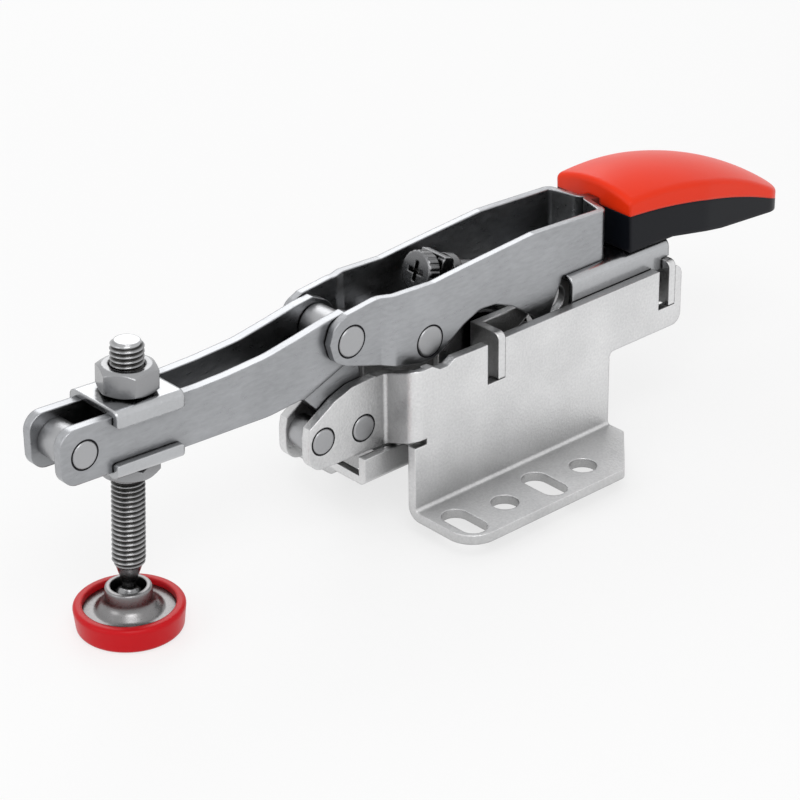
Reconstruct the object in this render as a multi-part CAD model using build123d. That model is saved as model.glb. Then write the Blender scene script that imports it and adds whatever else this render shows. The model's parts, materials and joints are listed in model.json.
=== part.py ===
from build123d import *
import math
import os

# Self-adjusting horizontal toggle clamp with an open arm, in millimetres.
# +X runs from the clamping arm towards the grip, +Z is up, and Y = 0 is the plane of symmetry.
# The origin is the centre of the four round fixing holes, on the underside of the two flanges.
# "Left" is the -Y side.  Every sheet is drawn for the left side and mirrored for the right.

# ---------------------------------------------------------------- driving dimensions
# Base plates
BASE_SHEET = 2.5
BASE_HALF_WIDTH = 16.0
LOBE_HALF_WIDTH = 5.5
BASE_FRONT = -33.0
BASE_REAR = 34.0
BASE_TOP = 40.0
TAIL_END = 60.0
TAIL_BOTTOM = 23.1
FLANGE_HALF_WIDTH = 35.8
HOLE_ROW_Y = 27.3
HOLE_PITCH = 13.6
HOLE_RADIUS = 3.55
SLOT_LENGTH = 13.4
FLANGE_CHAMFER = 14.0
FLANGE_CORNER = 7.5
FOLD_RADIUS = 1.0

# Pivots, in the XZ plane
ARM_PIVOT = (-40.3, 24.5)
SPACER_POINT = (-53.1, 25.5)
HANDLE_PIVOT = (-46.8, 51.6)
LINK_PIVOT = (-23.0, 44.0)
LINK_LENGTH = 36.4
SMALL_RIVET_RADIUS = 3.25
LARGE_RIVET_RADIUS = 3.85
RIVET_PROUD = 0.3
RUNNING_GAP = 0.05
SIDE_GAP = 0.3

# Arm
ARM_SHEET = 2.5
ARM_HALF_WIDTH = 7.0
LEG_HALF_WIDTH = 2.7
ARM_FRONT = -129.8
ARM_TOP_AT_SPINDLE = 55.0
ARM_DEPTH = 13.8
ARM_PITCH = 3.2
ARM_RIVET_POINT = (-123.3, 49.0)
ARM_SLEEVE_RADIUS = 4.7

# Spindle, saddle washers, nuts and foot
SPINDLE_X = -105.8
SPINDLE_RADIUS = 4.0
SPINDLE_ABOVE_ARM = 13.9
WASHER_SHEET = 1.6
WASHER_LENGTH = 19.0
WASHER_FLANGE = 5.0
NUT_ACROSS_FLATS = 13.0
TOP_NUT_HEIGHT = 6.5
LOWER_NUT_HEIGHT = 4.0
BALL_HEIGHT = 1.4
BALL_RADIUS = 4.4
NECK_RADIUS = 1.7
FOOT_BOTTOM = -4.8
FOOT_HEIGHT = 6.4
FOOT_RADIUS = 13.3
FOOT_WALL = 2.2
SOCKET_RIM = 6.2
SOCKET_FLARE = 8.2
SOCKET_SHEET = 1.2

# Handle
HANDLE_SHEET = 2.0
HANDLE_LOBE_HALF_WIDTH = 9.3
HANDLE_HALF_WIDTH = 10.6
HANDLE_REAR = 37.5
TANG_START = 40.0
TANG_END = 88.0
REST_HEIGHT = 46.6

# Grip
GRIP_FRONT = 41.5
GRIP_END = 104.0
GRIP_HALF_WIDTH = 13.8
GRIP_REST_GAP = 0.3
GRIP_CROWN = 2.8
GRIP_SOFT_EDGE = 1.6

# Inner frame, stop channel and link
FRAME_SHEET = 2.2
FRAME_HALF_WIDTH = 8.0
FRAME_FRONT = -42.3
FRAME_BOTTOM = 9.9
EAR_FRONT_X = -5.1
EAR_REAR_X = 55.4
EAR_LENGTH = 11.0
CHANNEL_SHEET = 1.5
CHANNEL_START = 23.1
CHANNEL_END = 57.9
STEP_CLEARANCE = 1.2
STEP_RELIEF = 4.9
LINK_SHEET = 2.2
LINK_HALF_WIDTH = 4.2
LINK_END_RADIUS = 5.5
LINK_REAR_RADIUS = 4.5
LINK_PIN_RADIUS = 3.0
SCREW_OFFSET = 14.3
SCREW_RADIUS = 3.0
SCREW_HEAD_RADIUS = 5.2
ADJUST_SLOT_TRAVEL = 12.0
ADJUST_SLOT_ANGLE = 33.5

os.makedirs("parts", exist_ok=True)

# ---------------------------------------------------------------- worked-out values
toggle_run = math.dist(HANDLE_PIVOT, LINK_PIVOT)
toggle_dir = (
    (LINK_PIVOT[0] - HANDLE_PIVOT[0]) / toggle_run,
    (LINK_PIVOT[1] - HANDLE_PIVOT[1]) / toggle_run,
)
link_rear = (
    LINK_PIVOT[0] + LINK_LENGTH * toggle_dir[0],
    LINK_PIVOT[1] + LINK_LENGTH * toggle_dir[1],
)
channel_half_width = BASE_HALF_WIDTH - BASE_SHEET - SIDE_GAP
grip_bottom = REST_HEIGHT + GRIP_REST_GAP
frame_top = REST_HEIGHT - CHANNEL_SHEET
foot_x = SPINDLE_X - (ARM_TOP_AT_SPINDLE - BALL_HEIGHT) * math.tan(math.radians(ARM_PITCH))
arm_axis = (math.cos(math.radians(ARM_PITCH)), -math.sin(math.radians(ARM_PITCH)))


# ---------------------------------------------------------------- helpers
def side_prism(face_sketch, y_low, y_high):
    """A side-view sketch, drawn with X across and Z up, made solid from y_low to y_high."""
    placed = Plane(origin=(0, y_low, 0), x_dir=(1, 0, 0), z_dir=(0, -1, 0)) * face_sketch
    return extrude(placed, amount=y_high - y_low, dir=(0, 1, 0))


def outline(*points):
    """Closed straight-sided sketch through the points, in order."""
    return make_face(Polyline(*points, close=True))


def rounded(sketch, radius, *near):
    """Fillet the sketch corners that lie closest to the given points."""
    for point in near:
        corner = sketch.vertices().sort_by_distance((point[0], point[1], 0))[0]
        sketch = fillet(corner, radius)
    return sketch


def folded_strip(points, radii, thickness):
    """Section of a folded sheet: a filleted line on its outer face, thickened to the left."""
    line = FilletPolyline(*points, radius=radii)
    return make_face(offset(line, amount=thickness, side=Side.LEFT, closed=True))


def across(point, radius, y_low, y_high):
    """Cylinder along Y, centred on a side-view point."""
    return side_prism(Pos(point[0], point[1]) * Circle(radius), y_low, y_high)


def ring(point, radius, bore, y_low, y_high):
    """Tube along Y."""
    return side_prism(Pos(point[0], point[1]) * (Circle(radius) - Circle(bore)), y_low, y_high)


def rivet(point, radius, half_length):
    """Plain rivet flush with the outer faces: a pin with lightly chamfered ends."""
    pin = across(point, radius, -half_length, half_length)
    return chamfer(pin.edges().filter_by(GeomType.CIRCLE), 0.25)


def mirrored(shape):
    """The right-hand copy of a left-hand piece."""
    return mirror(shape, about=Plane.XZ)


def save(shape, node):
    """Write one node's STEP file."""
    export_step(shape, "parts/" + node + ".step")
    return shape


# ---------------------------------------------------------------- base plates
def base_side_view():
    """Side view of lobe, main plate and tail, with the notches for the frame's ears."""
    ax, az = ARM_PIVOT
    lobe_front = SPACER_POINT[0] - 4.6
    lobe_bottom = az - 6.3
    sketch = outline(
        (lobe_front, lobe_bottom + 9.0),
        (lobe_front + 0.6, lobe_bottom + 11.8),
        (lobe_front + 8.7, lobe_bottom + 16.8),
        (lobe_front + 14.0, lobe_bottom + 18.6),
        (ax + 5.0, lobe_bottom + 19.0),
        (BASE_FRONT, BASE_TOP + 0.4),
        (BASE_FRONT + 6.0, BASE_TOP + 0.4),
        (BASE_FRONT + 8.5, BASE_TOP - 1.1),
        (BASE_FRONT + 11.0, BASE_TOP - 1.1),
        (BASE_FRONT + 13.5, BASE_TOP + 0.2),
        (BASE_FRONT + 20.0, BASE_TOP),
        (TAIL_END, BASE_TOP),
        (TAIL_END, TAIL_BOTTOM),
        (BASE_REAR, TAIL_BOTTOM),
        (BASE_REAR, 0),
        (BASE_FRONT, 0),
        (BASE_FRONT, lobe_bottom - 0.6),
        (lobe_front, lobe_bottom),
    )
    sketch = rounded(sketch, 4.5, (lobe_front, lobe_bottom))
    sketch = rounded(sketch, 3.0, (TAIL_END, BASE_TOP), (TAIL_END, TAIL_BOTTOM))
    sketch = rounded(sketch, 6.0, (lobe_front + 8.7, lobe_bottom + 16.8))
    sketch = rounded(sketch, 1.5, (BASE_REAR, TAIL_BOTTOM))
    for ear_x in (EAR_FRONT_X, EAR_REAR_X):
        notch_front = ear_x - 3.7
        notch_rear = ear_x + FRAME_SHEET + 0.1
        notch = Pos((notch_front + notch_rear) / 2, BASE_TOP) * Rectangle(
            notch_rear - notch_front, 2 * EAR_LENGTH
        )
        sketch -= notch
    return sketch


def base_plate():
    """Left base plate: lobe, step out to the main plate, tail, and the drilled flange."""
    y_lobe = -LOBE_HALF_WIDTH
    y_main = -BASE_HALF_WIDTH
    plan = folded_strip(
        [(BASE_FRONT - 30, y_lobe), (BASE_FRONT, y_lobe), (BASE_FRONT, y_main), (TAIL_END + 5, y_main)],
        [FOLD_RADIUS, FOLD_RADIUS + BASE_SHEET - 0.5],
        BASE_SHEET,
    )
    upper = extrude(plan, amount=BASE_TOP + 5)
    upper &= side_prism(base_side_view(), y_main - 1, 0)

    # The step's lower and upper edges climb towards the main plate.
    climb = 4.4
    step_low = ARM_PIVOT[1] - 6.9
    step_high = step_low + 19.2
    far_x = BASE_FRONT - 3
    depth = BASE_SHEET + 4.5
    below = Plane(origin=(far_x, 0, 0), x_dir=(0, 1, 0), z_dir=(1, 0, 0)) * outline(
        (y_main - 1, -1), (0, -1), (0, step_low), (y_lobe, step_low), (y_main - 1, step_low + climb)
    )
    above = Plane(origin=(far_x, 0, 0), x_dir=(0, 1, 0), z_dir=(1, 0, 0)) * outline(
        (y_main - 1, BASE_TOP + 6),
        (0, BASE_TOP + 6),
        (0, step_high),
        (y_lobe, step_high),
        (y_main - 1, step_high + climb),
    )
    upper -= extrude(below, amount=depth)
    upper -= extrude(above, amount=depth)

    # Main plate below the step, down through the fold into the flange.
    fold = folded_strip(
        [(y_main, BASE_TOP - 20), (y_main, BASE_SHEET), (-FLANGE_HALF_WIDTH, BASE_SHEET)],
        [FOLD_RADIUS],
        BASE_SHEET,
    )
    rising = Plane(origin=(BASE_FRONT, 0, 0), x_dir=(0, 1, 0), z_dir=(1, 0, 0)) * fold
    lower = extrude(rising, amount=BASE_REAR - BASE_FRONT)
    plan_cut = outline(
        (BASE_FRONT, 0),
        (BASE_REAR, 0),
        (BASE_REAR, -FLANGE_HALF_WIDTH + FLANGE_CHAMFER),
        (BASE_REAR - FLANGE_CHAMFER, -FLANGE_HALF_WIDTH),
        (BASE_FRONT, -FLANGE_HALF_WIDTH),
    )
    plan_cut = rounded(plan_cut, FLANGE_CORNER, (BASE_FRONT, -FLANGE_HALF_WIDTH))
    plan_cut = rounded(plan_cut, 2.0, (BASE_REAR, -FLANGE_HALF_WIDTH + FLANGE_CHAMFER))
    plan_cut = rounded(plan_cut, 3.0, (BASE_REAR - FLANGE_CHAMFER, -FLANGE_HALF_WIDTH))
    for step in (-1, 1):
        plan_cut -= Pos(step * HOLE_PITCH, -HOLE_ROW_Y) * Circle(HOLE_RADIUS)
    for step in (-2, 0):
        plan_cut -= Pos(step * HOLE_PITCH, -HOLE_ROW_Y) * SlotOverall(
            SLOT_LENGTH, 2 * HOLE_RADIUS, rotation=90
        )
    lower &= extrude(plan_cut, amount=BASE_TOP)
    plate = upper + lower

    for point in (ARM_PIVOT, SPACER_POINT):
        plate -= across(point, SMALL_RIVET_RADIUS, y_lobe - 1, 0)
    return plate


# ---------------------------------------------------------------- inner frame
def inner_frame():
    """Folded channel between the base plates, hooked into their notches by four ears."""
    inner = FRAME_HALF_WIDTH - FRAME_SHEET
    ear_tip = BASE_HALF_WIDTH
    low_top = FRAME_BOTTOM + 5.2
    neck_top = FRAME_BOTTOM + 7.4
    # Long wall, drawn as seen from the side.
    wall_view = outline(
        (FRAME_FRONT, FRAME_BOTTOM),
        (FRAME_FRONT, neck_top),
        (BASE_FRONT + 3.5, neck_top),
        (BASE_FRONT + 6.0, low_top),
        (EAR_FRONT_X - 4.0, low_top),
        (EAR_FRONT_X, low_top + 4.0),
        (EAR_FRONT_X, BASE_TOP + 1.5),
        (CHANNEL_START - 3.0, BASE_TOP + 1.5),
        (CHANNEL_START, frame_top),
        (EAR_REAR_X + FRAME_SHEET, frame_top),
        (EAR_REAR_X + FRAME_SHEET, TAIL_BOTTOM + 3),
        (BASE_REAR + 6, TAIL_BOTTOM + 3),
        (BASE_REAR - 4, FRAME_BOTTOM),
    )
    slot_rear = (
        link_rear[0] + ADJUST_SLOT_TRAVEL * math.cos(math.radians(ADJUST_SLOT_ANGLE)),
        link_rear[1] + ADJUST_SLOT_TRAVEL * math.sin(math.radians(ADJUST_SLOT_ANGLE)),
    )
    slot_mid = ((link_rear[0] + slot_rear[0]) / 2, (link_rear[1] + slot_rear[1]) / 2)
    slot_width = 2 * LINK_PIN_RADIUS + 1.6
    wall_view -= Pos(*slot_mid) * SlotOverall(
        ADJUST_SLOT_TRAVEL + slot_width, slot_width, rotation=ADJUST_SLOT_ANGLE
    )
    wall = side_prism(wall_view, -FRAME_HALF_WIDTH, -inner)
    walls = wall + mirrored(wall)

    # The web joins the walls underneath; a window behind its narrow front bridge keeps it open.
    web_plan = outline(
        (FRAME_FRONT, -FRAME_HALF_WIDTH),
        (BASE_REAR - 4, -FRAME_HALF_WIDTH),
        (BASE_REAR - 4, FRAME_HALF_WIDTH),
        (FRAME_FRONT, FRAME_HALF_WIDTH),
    )
    window_front = FRAME_FRONT + 2.0
    window_rear = BASE_FRONT + 2.0
    web_plan -= Pos((window_front + window_rear) / 2, 0) * Rectangle(
        window_rear - window_front, 2 * inner - 0.01
    )
    web = Pos(0, 0, FRAME_BOTTOM) * extrude(web_plan, amount=FRAME_SHEET)
    frame = walls + web
    bottom_edges = frame.edges().filter_by(Axis.X).group_by(Axis.Z)[0]
    long_edges = bottom_edges.filter_by(lambda e: e.length > 60)
    frame = fillet(long_edges, FRAME_SHEET - 0.4)

    # Ears: the walls' ends turned outward through the base plates.
    ear_bottom = BASE_TOP - EAR_LENGTH + 0.3
    for ear_x, ear_top in ((EAR_FRONT_X, BASE_TOP + 1.5), (EAR_REAR_X, BASE_TOP + 1.5)):
        ear_view = outline(
            (-ear_tip, ear_bottom),
            (-ear_tip + BASE_SHEET + SIDE_GAP, ear_bottom),
            (-inner - 0.5, ear_bottom - 3),
            (-inner - 0.5, ear_top),
            (-ear_tip, ear_top),
        )
        ear_view = rounded(ear_view, 1.8, (-ear_tip, ear_top))
        ear = extrude(
            Plane(origin=(ear_x, 0, 0), x_dir=(0, 1, 0), z_dir=(1, 0, 0)) * ear_view, amount=FRAME_SHEET
        )
        frame += ear + mirrored(ear)
    return frame


def stop_channel():
    """Inverted channel on the frame's walls, where the closed handle comes to rest."""
    half = channel_half_width
    side_low = REST_HEIGHT - 8.0
    section = folded_strip(
        [(half, side_low), (half, REST_HEIGHT), (-half, REST_HEIGHT), (-half, side_low)],
        [2.6, 2.6],
        CHANNEL_SHEET,
    )
    placed = Plane(origin=(CHANNEL_START, 0, 0), x_dir=(0, 1, 0), z_dir=(1, 0, 0)) * section
    channel = extrude(placed, amount=CHANNEL_END - CHANNEL_START)
    # The rear ears of the frame pass under a notch in each side.
    notch_start = EAR_REAR_X - SIDE_GAP
    notch_top = BASE_TOP + 1.5 + SIDE_GAP
    notch = Pos((notch_start + CHANNEL_END + 1) / 2, 0, notch_top / 2) * Box(
        CHANNEL_END + 1 - notch_start, 4 * half, notch_top
    )
    return channel - notch


# ---------------------------------------------------------------- arm
def arm_top(x):
    """Height of the arm's straight front top edge at x."""
    return ARM_TOP_AT_SPINDLE - (x - SPINDLE_X) * math.tan(math.radians(ARM_PITCH))


def arm_plate():
    """Left arm plate: long blade, and a leg stepped inward along a slanted fold."""
    bend_x = -90.9
    hx, hz = HANDLE_PIVOT
    ax, az = ARM_PIVOT
    eye = LARGE_RIVET_RADIUS + 3.0
    leg_eye = SMALL_RIVET_RADIUS + 2.75
    depth = ARM_DEPTH / math.cos(math.radians(ARM_PITCH))
    blade = outline(
        (ARM_FRONT, arm_top(ARM_FRONT)),
        (bend_x, arm_top(bend_x)),
        (-82.0, arm_top(bend_x)),
        (-70.0, 54.7),
        (-60.8, 56.2),
        (-52.0, hz + 6.2),
        (hx, hz + eye),
        (hx + eye * 0.8, hz + eye * 0.6),
        (hx + eye, hz),
        (hx + eye + 0.4, hz - 8),
        (ax + 1.9, az + 11.4),
        (ax + 5.6, az + 3.2),
        (ax + leg_eye, az),
        (ax, az - leg_eye),
        (ax - leg_eye * 0.8, az - leg_eye * 0.5),
        (-50.6, 30.8),
        (-57.2, 37.8),
        (-60.5, 40.2),
        (-70.6, 39.4),
        (-81.0, 39.9),
        (bend_x, arm_top(bend_x) - depth),
        (ARM_FRONT, arm_top(ARM_FRONT) - depth),
    )
    blade = rounded(blade, 4.2, (ARM_FRONT, arm_top(ARM_FRONT)), (ARM_FRONT, arm_top(ARM_FRONT) - depth))
    blade = rounded(blade, 30, (-82.0, arm_top(bend_x)), (-70.0, 54.7))
    blade = rounded(blade, 25, (-70.6, 39.4))
    blade = rounded(blade, 6.0, (hx + eye * 0.8, hz + eye * 0.6), (-52.0, hz + 6.2))
    blade = rounded(blade, 4.0, (ax + leg_eye, az - 0.0), (ax, az - leg_eye))
    blade = rounded(blade, 2.5, (ax - leg_eye * 0.8, az - leg_eye * 0.5), (-60.5, 40.2))

    # Fold line of the leg, climbing to the rear, and the step across it.
    slope = math.radians(21.0)
    along = (math.cos(slope), 0, math.sin(slope))
    down = (math.sin(slope), 0, -math.cos(slope))
    start = Vector(-58.0, 0, 40.3)
    step_run = 3.2
    section = folded_strip(
        [
            (-60, -ARM_HALF_WIDTH),
            (0, -ARM_HALF_WIDTH),
            (step_run, -LEG_HALF_WIDTH),
            (60, -LEG_HALF_WIDTH),
        ],
        [FOLD_RADIUS + ARM_SHEET - 0.3, FOLD_RADIUS],
        ARM_SHEET,
    )
    origin = start - Vector(*along) * 110
    sheet = extrude(Plane(origin=origin, x_dir=down, z_dir=along) * section, amount=220)
    plate = sheet & side_prism(blade, -ARM_HALF_WIDTH - 1, 0)
    plate -= across(HANDLE_PIVOT, LARGE_RIVET_RADIUS + RUNNING_GAP, -10, 0)
    plate -= across(ARM_PIVOT, SMALL_RIVET_RADIUS + RUNNING_GAP, -10, 0)
    plate -= across(ARM_RIVET_POINT, LARGE_RIVET_RADIUS - 0.5, -10, 0)
    return plate


# ---------------------------------------------------------------- spindle group
def on_arm(shape):
    """Place a shape drawn about the spindle axis, with z = 0 on the arm's top edge."""
    return Pos(SPINDLE_X, 0, ARM_TOP_AT_SPINDLE) * Rot(0, ARM_PITCH, 0) * shape


def saddle_washer(top):
    """U-shaped washer that straddles the arm plates."""
    half = ARM_HALF_WIDTH + SIDE_GAP + WASHER_SHEET
    section = folded_strip(
        [(half, -WASHER_FLANGE), (half, WASHER_SHEET), (-half, WASHER_SHEET), (-half, -WASHER_FLANGE)],
        [WASHER_SHEET + 0.25, WASHER_SHEET + 0.25],
        WASHER_SHEET,
    )
    placed = Plane(origin=(-WASHER_LENGTH / 2, 0, 0), x_dir=(0, 1, 0), z_dir=(1, 0, 0)) * section
    washer = extrude(placed, amount=WASHER_LENGTH)
    washer -= Cylinder(SPINDLE_RADIUS + 0.3, 20)
    lower_corners = washer.edges().filter_by(Axis.Y).group_by(Axis.Z)[0]
    washer = fillet(lower_corners, 1.5)
    if top:
        return on_arm(washer)
    return on_arm(Pos(0, 0, -ARM_DEPTH) * Rot(180, 0, 0) * washer)


def hex_nut(height, bore):
    """Hexagon nut with its corners turned off at both ends."""
    corner = NUT_ACROSS_FLATS / math.sqrt(3)
    body = extrude(RegularPolygon(corner, 6), amount=height)
    turned = Cylinder(corner, height, align=(Align.CENTER, Align.CENTER, Align.MIN))
    turned = chamfer(turned.edges().filter_by(GeomType.CIRCLE), 0.6, 1.0)
    body &= turned
    return body - Cylinder(bore, 3 * height)


def spindle():
    """Threaded spindle with chamfered top, cone, neck and ball."""
    top = SPINDLE_ABOVE_ARM
    ball = -(ARM_TOP_AT_SPINDLE - BALL_HEIGHT) / math.cos(math.radians(ARM_PITCH))
    cone_top = ball + 10.2
    neck_top = ball + 6.0
    meet = math.sqrt(BALL_RADIUS**2 - NECK_RADIUS**2)
    section = outline(
        (0, ball),
        (NECK_RADIUS, ball + meet - 0.4),
        (NECK_RADIUS, neck_top),
        (SPINDLE_RADIUS - 0.8, cone_top),
        (SPINDLE_RADIUS, cone_top + 1.2),
        (SPINDLE_RADIUS, top - 1.0),
        (SPINDLE_RADIUS - 1.0, top),
        (0, top),
    )
    turned = revolve(Plane.XZ * section, axis=Axis.Z)
    turned += Pos(0, 0, ball) * Sphere(BALL_RADIUS)
    return on_arm(turned)


def foot_socket():
    """Pressed steel foot: flat disc with a flared cup round the ball."""
    disc_top = 0.1
    disc_low = disc_top - SOCKET_SHEET
    rim = SOCKET_RIM
    hollow = BALL_RADIUS + RUNNING_GAP
    inner_reach = FOOT_RADIUS - FOOT_WALL
    throat = BALL_RADIUS - 0.1
    profile = outline(
        (0, disc_low),
        (inner_reach, disc_low),
        (inner_reach, disc_top),
        (SOCKET_FLARE, disc_top),
        (throat + 1.5, disc_top + 2.0),
        (throat + 1.2, rim),
        (throat, rim),
        (0, rim),
    )
    profile = rounded(profile, 2.4, (throat + 1.5, disc_top + 2.0))
    profile = rounded(profile, 1.6, (SOCKET_FLARE, disc_top))
    profile = rounded(profile, 0.5, (throat + 1.2, rim))
    socket = revolve(Plane.XZ * profile, axis=Axis.Z)
    socket -= Pos(0, 0, BALL_HEIGHT) * Sphere(hollow)
    socket -= Pos(0, 0, BALL_HEIGHT) * Cylinder(
        throat, 20, align=(Align.CENTER, Align.CENTER, Align.MIN)
    )
    return Pos(foot_x, 0, 0) * socket


def foot_cap():
    """Soft cap round the pressed foot: a shallow cup with a rounded rim."""
    disc_low = 0.1 - SOCKET_SHEET
    inner_reach = FOOT_RADIUS - FOOT_WALL
    profile = outline(
        (0, FOOT_BOTTOM),
        (FOOT_RADIUS - 0.6, FOOT_BOTTOM),
        (FOOT_RADIUS, FOOT_BOTTOM + FOOT_HEIGHT - 1.0),
        (FOOT_RADIUS, FOOT_BOTTOM + FOOT_HEIGHT),
        (inner_reach, FOOT_BOTTOM + FOOT_HEIGHT),
        (inner_reach, disc_low),
        (0, disc_low),
    )
    profile = rounded(profile, 1.0, (FOOT_RADIUS - 0.6, FOOT_BOTTOM))
    profile = rounded(profile, 0.9, (FOOT_RADIUS, FOOT_BOTTOM + FOOT_HEIGHT))
    cap = revolve(Plane.XZ * profile, axis=Axis.Z)
    cap -= Pos(0, 0, BALL_HEIGHT) * Sphere(BALL_RADIUS + RUNNING_GAP)
    return Pos(foot_x, 0, 0) * cap


# ---------------------------------------------------------------- handle
def handle_plate():
    """Left handle plate: lobe, small step outward, blade, and the tang turned in at the rear."""
    step_x = HANDLE_PIVOT[0] + 9.4
    plan = folded_strip(
        [
            (HANDLE_PIVOT[0] - 12, -HANDLE_LOBE_HALF_WIDTH),
            (step_x, -HANDLE_LOBE_HALF_WIDTH),
            (step_x + 3.4, -HANDLE_HALF_WIDTH),
            (HANDLE_REAR, -HANDLE_HALF_WIDTH),
            (TANG_START, -HANDLE_SHEET),
            (TANG_END + 5, -HANDLE_SHEET),
        ],
        [FOLD_RADIUS, FOLD_RADIUS + HANDLE_SHEET, FOLD_RADIUS + HANDLE_SHEET, FOLD_RADIUS],
        HANDLE_SHEET,
    )
    hx, hz = HANDLE_PIVOT
    lx, lz = LINK_PIVOT
    rest = REST_HEIGHT
    foot_front = CHANNEL_START - 11.0
    view = outline(
        (hx - 6.6, hz + 1.0),
        (hx - 5.0, hz + 5.4),
        (hx - 1.0, hz + 7.2),
        (hx + 8.0, hz + 8.2),
        (lx + 1.8, lz + 14.9),
        (lx + 11.6, lz + 15.7),
        (lx + 35.0, lz + 17.3),
        (HANDLE_REAR, rest + 13.4),
        (TANG_START + 6, rest + 11.6),
        (TANG_END - 18, rest + 7.5),
        (TANG_END, rest + 1.5),
        (TANG_END - 2, rest - 1.6),
        (TANG_END - 22, rest + 1.2),
        (TANG_START + 3, rest + 2.2),
        (HANDLE_REAR, rest + 0.1),
        (CHANNEL_START - STEP_CLEARANCE, rest + 0.1),
        (CHANNEL_START - STEP_CLEARANCE - STEP_RELIEF, rest - 10.5),
        (foot_front + 1.8, rest - 10.5),
        (foot_front, rest - 7.8),
        (lx + 27.5, lz + 0.2),
        (lx + 22.0, lz + 2.6),
        (lx + 16.6, lz + 3.0),
        (lx + 11.0, lz + 0.6),
        (lx + 4.5, lz - 3.6),
        (lx + 1.5, lz - 5.1),
        (lx - 3.0, lz - 5.1),
        (lx - 9.0, lz - 3.6),
        (hx + 9.8, hz - 9.7),
        (hx - 1.2, hz - 6.1),
        (hx - 5.2, hz - 4.0),
    )
    view = rounded(view, 4.0, (hx - 5.0, hz + 5.4), (hx - 5.2, hz - 4.0))
    view = rounded(view, 4.0, (lx + 22.0, lz + 2.6), (lx + 16.6, lz + 3.0))
    view = rounded(view, 2.0, (lx + 4.5, lz - 3.6), (foot_front, rest - 7.8))
    plate = extrude(plan, amount=80) & side_prism(view, -HANDLE_HALF_WIDTH - 1, 0)
    plate -= across(HANDLE_PIVOT, LARGE_RIVET_RADIUS, -12, 0)
    plate -= across(LINK_PIVOT, LARGE_RIVET_RADIUS, -12, 0)
    return plate


# ---------------------------------------------------------------- grip
def arc_centre(first, middle, last):
    """Centre of the circle through three points of a side view."""
    (ax, az), (bx, bz), (cx, cz) = first, middle, last
    turn = 2 * (ax * (bz - cz) + bx * (cz - az) + cx * (az - bz))
    aa, bb, cc = ax * ax + az * az, bx * bx + bz * bz, cx * cx + cz * cz
    centre_x = (aa * (bz - cz) + bb * (cz - az) + cc * (az - bz)) / turn
    centre_z = (aa * (cx - bx) + bb * (ax - cx) + cc * (bx - ax)) / turn
    return centre_x, centre_z


def grip_blank():
    """Outer shape of the whole grip: one arc from front to end, crowned across, with soft edges."""
    ridge = (
        (GRIP_FRONT + 2.0, grip_bottom + 16.6),
        (GRIP_FRONT + 30.0, grip_bottom + 14.4),
        (GRIP_END - 1.0, grip_bottom + 0.6),
    )
    centre_x, centre_z = arc_centre(*ridge)
    ridge_radius = math.dist(ridge[0], (centre_x, centre_z))
    hub = ridge_radius - 45
    crown = make_face(
        ThreePointArc(
            (-GRIP_HALF_WIDTH, ridge_radius - GRIP_CROWN),
            (0, ridge_radius),
            (GRIP_HALF_WIDTH, ridge_radius - GRIP_CROWN),
        )
        + Polyline(
            (GRIP_HALF_WIDTH, ridge_radius - GRIP_CROWN),
            (GRIP_HALF_WIDTH, hub),
            (-GRIP_HALF_WIDTH, hub),
            (-GRIP_HALF_WIDTH, ridge_radius - GRIP_CROWN),
        )
    )
    spin_plane = Plane(origin=(centre_x, 0, centre_z), x_dir=(0, 1, 0), z_dir=(1, 0, 0))
    back = revolve(spin_plane * crown, Axis((centre_x, 0, centre_z), (0, 1, 0)), 360)
    side = outline(
        (GRIP_FRONT + 2.2, grip_bottom),
        (GRIP_FRONT + 0.6, grip_bottom + 40.0),
        (GRIP_END, grip_bottom + 40.0),
        (GRIP_END, grip_bottom - 6.2),
        (GRIP_FRONT + 36.0, grip_bottom - 3.4),
        (CHANNEL_END + 1.0, grip_bottom),
    )
    plan = outline(
        (GRIP_FRONT - 1, -GRIP_HALF_WIDTH + 0.8),
        (GRIP_FRONT + 30, -GRIP_HALF_WIDTH),
        (GRIP_END, -GRIP_HALF_WIDTH + 1.8),
        (GRIP_END, GRIP_HALF_WIDTH - 1.8),
        (GRIP_FRONT + 30, GRIP_HALF_WIDTH),
        (GRIP_FRONT - 1, GRIP_HALF_WIDTH - 0.8),
    )
    plan = rounded(plan, 7.0, (GRIP_END, -GRIP_HALF_WIDTH + 1.8), (GRIP_END, GRIP_HALF_WIDTH - 1.8))
    plan = rounded(plan, 30.0, (GRIP_FRONT + 30, -GRIP_HALF_WIDTH), (GRIP_FRONT + 30, GRIP_HALF_WIDTH))
    blank = side_prism(side, -GRIP_HALF_WIDTH, GRIP_HALF_WIDTH) & extrude(plan, amount=120) & back
    crown_face = max(blank.faces().filter_by(lambda f: f.geom_type == GeomType.TORUS), key=lambda f: f.area)
    return fillet(crown_face.edges(), GRIP_SOFT_EDGE)


def grip_halves():
    """Red cover and black body, parted on a curved line and hollowed for the tang."""
    blank = grip_blank()
    part_line = ThreePointArc(
        (GRIP_FRONT - 5, grip_bottom + 10.3),
        (GRIP_FRONT + 34, grip_bottom + 5.6),
        (GRIP_END + 4, grip_bottom - 6.0),
    )
    upper_side = make_face(
        part_line
        + Polyline(
            (GRIP_END + 4, grip_bottom - 6.0),
            (GRIP_END + 4, grip_bottom + 40),
            (GRIP_FRONT - 5, grip_bottom + 40),
            (GRIP_FRONT - 5, grip_bottom + 10.3),
        )
    )
    above = side_prism(upper_side, -40, 40)
    cover = blank & above
    body = blank - above
    return cover, body


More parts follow.
